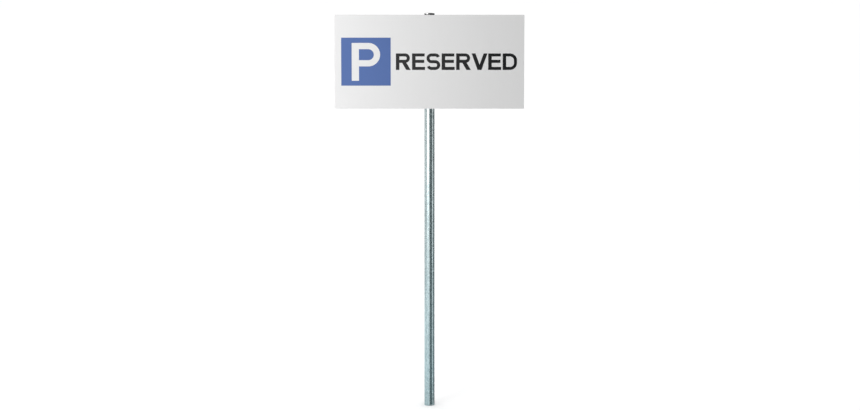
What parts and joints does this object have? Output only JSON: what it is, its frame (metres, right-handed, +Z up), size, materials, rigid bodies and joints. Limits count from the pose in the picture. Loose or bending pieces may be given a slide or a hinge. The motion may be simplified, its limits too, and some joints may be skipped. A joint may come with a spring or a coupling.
{
  "type": "signpost with sign",
  "caption": "Flat rectangular parking sign on slotted rails, held by two adjustable clamps near the top of a round galvanised post with a plastic cap.",
  "frame": {"origin": "centre of the post's lower end, the foot that is set in the ground", "axes": "+Z up along the post's axis, +X along the sign to its reader's right, and the sign faces -Y"},
  "size_m": [1.1, 0.0925, 2.3425],
  "materials": {
    "galvanised_steel": "hot-dip galvanised, fine spangle, satin",
    "cap_plastic": "moulded, semi-gloss",
    "core_plastic": "routed edge, matt",
    "panel_skin": "coil-coated, satin",
    "white_film": "smooth film, satin gloss",
    "blue_film": "smooth film, satin gloss",
    "white_print": "smooth film, satin gloss",
    "black_film": "smooth film, satin gloss",
    "rail_aluminium": "extruded, natural anodised",
    "foam_tape": "closed-cell foam, matt",
    "plug_plastic": "moulded, fine texture",
    "liner_rubber": "smooth extruded rubber, matt",
    "clamp_aluminium": "extruded and sawn, lightly blasted",
    "zinc_fasteners": "bright zinc plated"
  },
  "bodies": {
    "post": {"post_tube": "galvanised_steel"},
    "cap": {"post_cap": "cap_plastic"},
    "liners": {"liner_upper": "liner_rubber", "liner_lower": "liner_rubber"},
    "clamps": {"clamp_front_upper": "clamp_aluminium", "clamp_front_lower": "clamp_aluminium", "clamp_rear_upper": "clamp_aluminium", "clamp_rear_lower": "clamp_aluminium", "clamp_bolts": "zinc_fasteners", "clamp_washers": "zinc_fasteners", "clamp_nuts": "zinc_fasteners"},
    "sign": {"panel_core": "core_plastic", "panel_front_skin": "panel_skin", "panel_rear_skin": "panel_skin", "face_film": "white_film", "parking_square": "blue_film", "parking_letter": "white_print", "legend_letters": "black_film", "rail_upper": "rail_aluminium", "rail_tape_upper": "foam_tape", "rail_plug_upper_left": "plug_plastic", "rail_plug_upper_right": "plug_plastic", "rail_lower": "rail_aluminium", "rail_tape_lower": "foam_tape", "rail_plug_lower_left": "plug_plastic", "rail_plug_lower_right": "plug_plastic"}
  },
  "joints": [
    {"name": "cap_pull", "type": "slide", "parent": "post", "child": "cap", "axis": [0, 0, 1], "range_m": [0, 0.05]},
    {"name": "sign_height", "type": "slide", "parent": "post", "child": "liners", "axis": [0, 0, 1], "range_m": [-1.75, 0.09]},
    {"name": "sign_swivel", "type": "hinge", "parent": "liners", "child": "clamps", "pos_m": [0, 0, 2.065], "axis": [0, 0, 1], "continuous": true},
    {"name": "sign_shift", "type": "slide", "parent": "clamps", "child": "sign", "axis": [1, 0, 0], "range_m": [-0.43, 0.43]}
  ]
}
